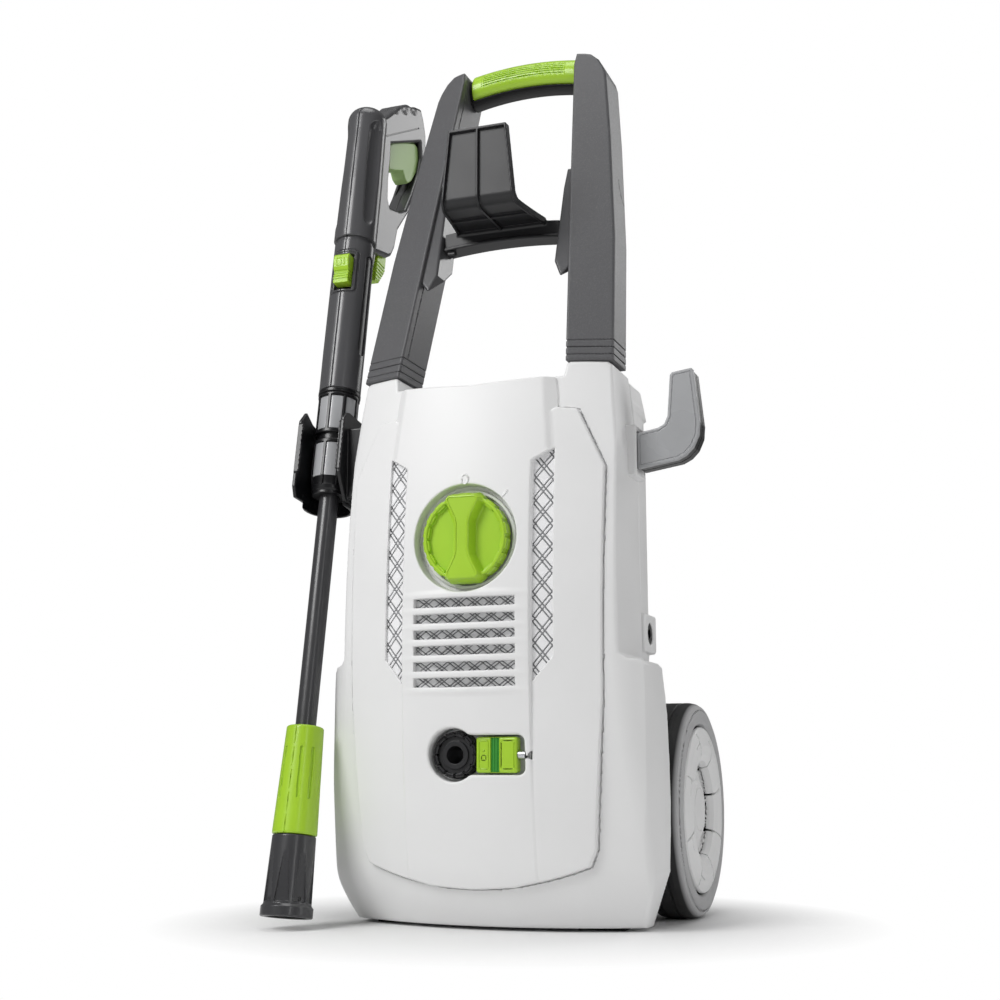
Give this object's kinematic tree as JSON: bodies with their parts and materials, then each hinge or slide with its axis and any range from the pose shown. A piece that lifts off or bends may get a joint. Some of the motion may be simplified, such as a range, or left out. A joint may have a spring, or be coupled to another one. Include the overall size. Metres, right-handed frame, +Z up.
{
  "type": "pressure washer",
  "caption": "Upright wheeled electric pressure washer with a rotary switch, fixed handle, hose hanger, cord hook, and a spray gun with lance held in a side clip.",
  "frame": {"origin": "on the floor, at the middle of the base's rest pad", "axes": "+X to the right seen from the front, +Y to the back, +Z up"},
  "size_m": [0.3874, 0.3495, 0.8795],
  "materials": {
    "housing": "light grey white, satin",
    "cover": "white, satin",
    "grille": "light grey lattice",
    "graphite": "graphite grey with a fine metallic speckle",
    "gun_grey": "dark grey, satin",
    "lime": "lime green, satin",
    "black": "black, fine texture",
    "hook_silver": "silver grey",
    "tyre_grey": "mid grey rubber",
    "foot_rubber": "black rubber",
    "cap_white": "white, satin",
    "hub_black": "black",
    "tube": "dark grey powder coat",
    "steel": "bright steel",
    "pump_alu": "cast",
    "copper": "lacquered copper windings",
    "brass": "machined"
  },
  "bodies": {
    "housing": {"front_housing": "housing", "front_cover": "cover", "side_grilles": "grille", "vent_grille": "grille", "rear_housing": "housing", "base_plate": "black", "rubber_feet": "foot_rubber", "handle_upright_left": "graphite", "handle_upright_right": "graphite", "grip_upper": "lime", "grip_lower": "black", "hose_hanger": "black", "hanger_pads": "black", "cord_hook": "hook_silver", "cord_hook_socket": "housing", "gun_clip": "black", "cord_gland": "black", "housing_screws": "steel", "switch_housing": "black", "capacitor": "black", "motor_can": "steel", "motor_end_cap": "steel", "stator_core": "copper", "motor_bearings": "steel", "pump_body": "pump_alu", "pump_head": "pump_alu", "pump_pistons": "steel", "piston_springs": "steel", "unloader_valve": "brass", "outlet_pipe": "steel", "outlet_coupling": "black", "water_inlet": "brass", "wheel_axle": "steel", "axle_clips": "steel"},
    "switch_knob": {"knob": "lime", "knob_shaft": "steel"},
    "wheel_left": {"tyre_left": "tyre_grey", "hub_left": "hub_black", "hub_cap_left": "cap_white"},
    "wheel_right": {"tyre_right": "tyre_grey", "hub_right": "hub_black", "hub_cap_right": "cap_white"},
    "hose_latch": {"outlet_latch": "lime", "latch_spring": "steel"},
    "motor_rotor": {"motor_shaft": "steel", "rotor_core": "steel", "cooling_fan": "black", "swash_plate": "steel"},
    "gun": {"gun_shell_left": "gun_grey", "gun_shell_right": "gun_grey", "gun_valve": "brass"},
    "gun_trigger": {"trigger": "lime"},
    "gun_lock": {"trigger_lock": "lime"},
    "gun_release": {"lance_release": "lime"},
    "lance": {"lance_connector": "black", "lance_tube": "tube", "nozzle_sleeve": "lime"},
    "nozzle": {"nozzle_head": "black", "nozzle_tip": "brass"}
  },
  "joints": [
    {"name": "knob_turn", "type": "hinge", "parent": "housing", "child": "switch_knob", "pos_m": [0, -0.133, 0.341], "axis": [0, 1, 0], "range_deg": [0, 45]},
    {"name": "wheel_left_spin", "type": "hinge", "parent": "housing", "child": "wheel_left", "pos_m": [-0.14, 0.078, 0.101], "axis": [1, 0, 0], "continuous": true},
    {"name": "wheel_right_spin", "type": "hinge", "parent": "housing", "child": "wheel_right", "pos_m": [0.14, 0.078, 0.101], "axis": [1, 0, 0], "continuous": true},
    {"name": "latch_slide", "type": "slide", "parent": "housing", "child": "hose_latch", "axis": [1, 0, 0], "range_m": [0, 0.005], "stiffness_N_per_m": 300, "deforming": ["latch_spring"]},
    {"name": "motor_spin", "type": "hinge", "parent": "housing", "child": "motor_rotor", "pos_m": [0, 0.005, 0.3], "axis": [0, 0, 1], "continuous": true},
    {"name": "gun_lift_off", "type": "slide", "parent": "housing", "child": "gun", "axis": [0, -0.9859, 0.1676], "range_m": [0, 0.2]},
    {"name": "trigger_pull", "type": "hinge", "parent": "gun", "child": "gun_trigger", "pos_m": [-0.165, 0.04717, 0.81997], "axis": [1, 0, 0], "range_deg": [0, 8], "stiffness_Nm_per_rad": 2},
    {"name": "trigger_lock_push", "type": "slide", "parent": "gun", "child": "gun_lock", "axis": [0, 0.1676, 0.9859], "range_m": [0, 0.004]},
    {"name": "release_slide", "type": "slide", "parent": "gun", "child": "gun_release", "axis": [0, -0.1676, -0.9859], "range_m": [0, 0.005], "stiffness_N_per_m": 300},
    {"name": "lance_twist", "type": "hinge", "parent": "gun", "child": "lance", "pos_m": [-0.165, -0.07057, 0.46163], "axis": [0, 0.1676, 0.9859], "range_deg": [0, 45]},
    {"name": "nozzle_twist", "type": "hinge", "parent": "lance", "child": "nozzle", "pos_m": [-0.165, -0.1393, 0.05743], "axis": [0, 0.1676, 0.9859], "range_deg": [0, 90]}
  ]
}
